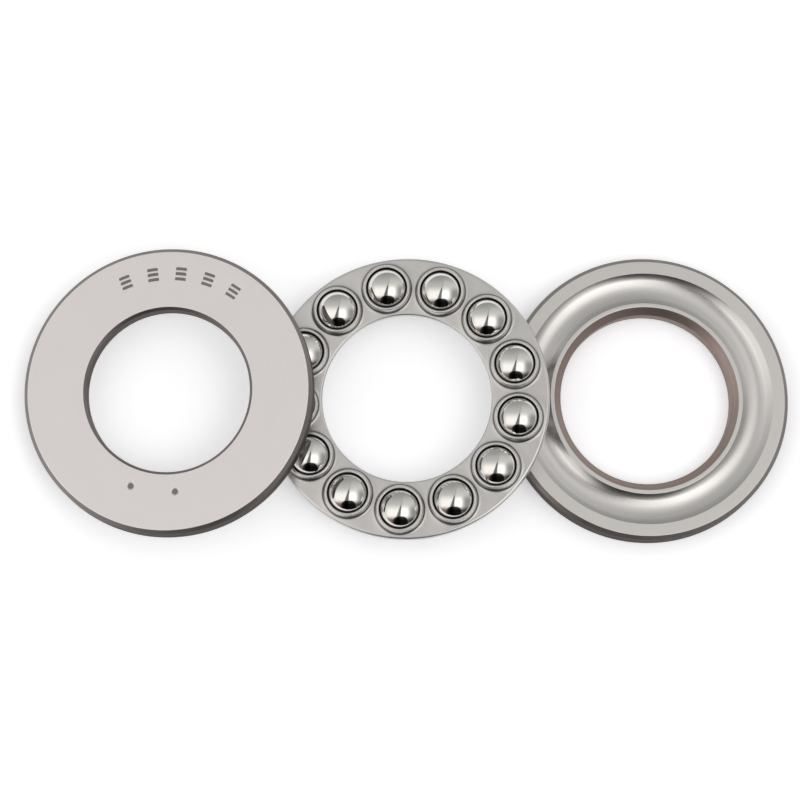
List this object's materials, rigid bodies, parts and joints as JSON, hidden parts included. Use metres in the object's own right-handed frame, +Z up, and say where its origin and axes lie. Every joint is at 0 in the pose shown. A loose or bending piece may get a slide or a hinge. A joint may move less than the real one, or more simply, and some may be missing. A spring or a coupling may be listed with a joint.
{
  "type": "thrust ball bearing",
  "caption": "Single-direction thrust ball bearing taken apart: shaft washer, pressed steel cage full of balls and housing washer, lying in an overlapping row.",
  "frame": {"origin": "centre of the housing washer's back face, which rests on the table", "axes": "+Z up along the housing washer's axis, out of its raceway; +X from the ball set towards the housing washer, along the row of pieces; -Y towards the viewer"},
  "size_m": [0.0799, 0.0304, 0.0078],
  "materials": {
    "washer_steel": "ground back face and edges, lapped raceway",
    "cage_steel": "bright pressed sheet",
    "ball_steel": "mirror polished"
  },
  "bodies": {
    "housing": {"housing_washer": "washer_steel"},
    "shaft": {"shaft_washer": "washer_steel"},
    "cage": {"ball_cage": "cage_steel"},
    "ball_01": {"ball_01": "ball_steel"},
    "ball_02": {"ball_02": "ball_steel"},
    "ball_03": {"ball_03": "ball_steel"},
    "ball_04": {"ball_04": "ball_steel"},
    "ball_05": {"ball_05": "ball_steel"},
    "ball_06": {"ball_06": "ball_steel"},
    "ball_07": {"ball_07": "ball_steel"},
    "ball_08": {"ball_08": "ball_steel"},
    "ball_09": {"ball_09": "ball_steel"},
    "ball_10": {"ball_10": "ball_steel"},
    "ball_11": {"ball_11": "ball_steel"},
    "ball_12": {"ball_12": "ball_steel"},
    "ball_13": {"ball_13": "ball_steel"}
  },
  "joints": [
    {"name": "shaft_washer_spin", "type": "hinge", "parent": "housing", "child": "shaft", "pos_m": [-0.0502, 0.0001, 0.00526], "axis": [-0.1757, 0, 0.9844], "continuous": true},
    {"name": "cage_spin", "type": "hinge", "parent": "housing", "child": "cage", "pos_m": [-0.0253, -0.00043, 0.00382], "axis": [-0.1196, 0, 0.9928], "continuous": true},
    {"name": "ball_01_roll", "type": "hinge", "parent": "cage", "child": "ball_01", "pos_m": [-0.01386, -0.00271, 0.0052], "axis": [0.9739, -0.1942, 0.1173], "continuous": true},
    {"name": "ball_02_roll", "type": "hinge", "parent": "cage", "child": "ball_02", "pos_m": [-0.01411, 0.00291, 0.00517], "axis": [0.952, 0.2839, 0.1147], "continuous": true},
    {"name": "ball_03_roll", "type": "hinge", "parent": "cage", "child": "ball_03", "pos_m": [-0.01693, 0.00776, 0.00483], "axis": [0.7119, 0.697, 0.0858], "continuous": true},
    {"name": "ball_04_roll", "type": "hinge", "parent": "cage", "child": "ball_04", "pos_m": [-0.02167, 0.01074, 0.00426], "axis": [0.3088, 0.9504, 0.0372], "continuous": true},
    {"name": "ball_05_roll", "type": "hinge", "parent": "cage", "child": "ball_05", "pos_m": [-0.02724, 0.01116, 0.00358], "axis": [-0.165, 0.9861, -0.0199], "continuous": true},
    {"name": "ball_06_roll", "type": "hinge", "parent": "cage", "child": "ball_06", "pos_m": [-0.03236, 0.00892, 0.00297], "axis": [-0.6011, 0.7959, -0.0724], "continuous": true},
    {"name": "ball_07_roll", "type": "hinge", "parent": "cage", "child": "ball_07", "pos_m": [-0.03587, 0.00454, 0.00254], "axis": [-0.8995, 0.4233, -0.1084], "continuous": true},
    {"name": "ball_08_roll", "type": "hinge", "parent": "cage", "child": "ball_08", "pos_m": [-0.03695, -0.00097, 0.00241], "axis": [-0.9918, -0.0462, -0.1195], "continuous": true},
    {"name": "ball_09_roll", "type": "hinge", "parent": "cage", "child": "ball_09", "pos_m": [-0.03537, -0.00637, 0.0026], "axis": [-0.8569, -0.5051, -0.1032], "continuous": true},
    {"name": "ball_10_roll", "type": "hinge", "parent": "cage", "child": "ball_10", "pos_m": [-0.03148, -0.0104, 0.00307], "axis": [-0.5257, -0.8483, -0.0633], "continuous": true},
    {"name": "ball_11_roll", "type": "hinge", "parent": "cage", "child": "ball_11", "pos_m": [-0.02617, -0.01215, 0.00371], "axis": [-0.074, -0.9972, -0.0089], "continuous": true},
    {"name": "ball_12_roll", "type": "hinge", "parent": "cage", "child": "ball_12", "pos_m": [-0.02066, -0.01121, 0.00438], "axis": [0.3945, -0.9176, 0.0475], "continuous": true},
    {"name": "ball_13_roll", "type": "hinge", "parent": "cage", "child": "ball_13", "pos_m": [-0.01622, -0.00781, 0.00491], "axis": [0.7727, -0.6279, 0.0931], "continuous": true}
  ],
  "couplings": [
    {"joint": "cage_spin", "follows": "shaft_washer_spin", "ratio": 0.5},
    {"joint": "ball_01_roll", "follows": "shaft_washer_spin", "ratio": -2.4672},
    {"joint": "ball_02_roll", "follows": "shaft_washer_spin", "ratio": -2.4672},
    {"joint": "ball_03_roll", "follows": "shaft_washer_spin", "ratio": -2.4672},
    {"joint": "ball_04_roll", "follows": "shaft_washer_spin", "ratio": -2.4672},
    {"joint": "ball_05_roll", "follows": "shaft_washer_spin", "ratio": -2.4672},
    {"joint": "ball_06_roll", "follows": "shaft_washer_spin", "ratio": -2.4672},
    {"joint": "ball_07_roll", "follows": "shaft_washer_spin", "ratio": -2.4672},
    {"joint": "ball_08_roll", "follows": "shaft_washer_spin", "ratio": -2.4672},
    {"joint": "ball_09_roll", "follows": "shaft_washer_spin", "ratio": -2.4672},
    {"joint": "ball_10_roll", "follows": "shaft_washer_spin", "ratio": -2.4672},
    {"joint": "ball_11_roll", "follows": "shaft_washer_spin", "ratio": -2.4672},
    {"joint": "ball_12_roll", "follows": "shaft_washer_spin", "ratio": -2.4672},
    {"joint": "ball_13_roll", "follows": "shaft_washer_spin", "ratio": -2.4672}
  ]
}
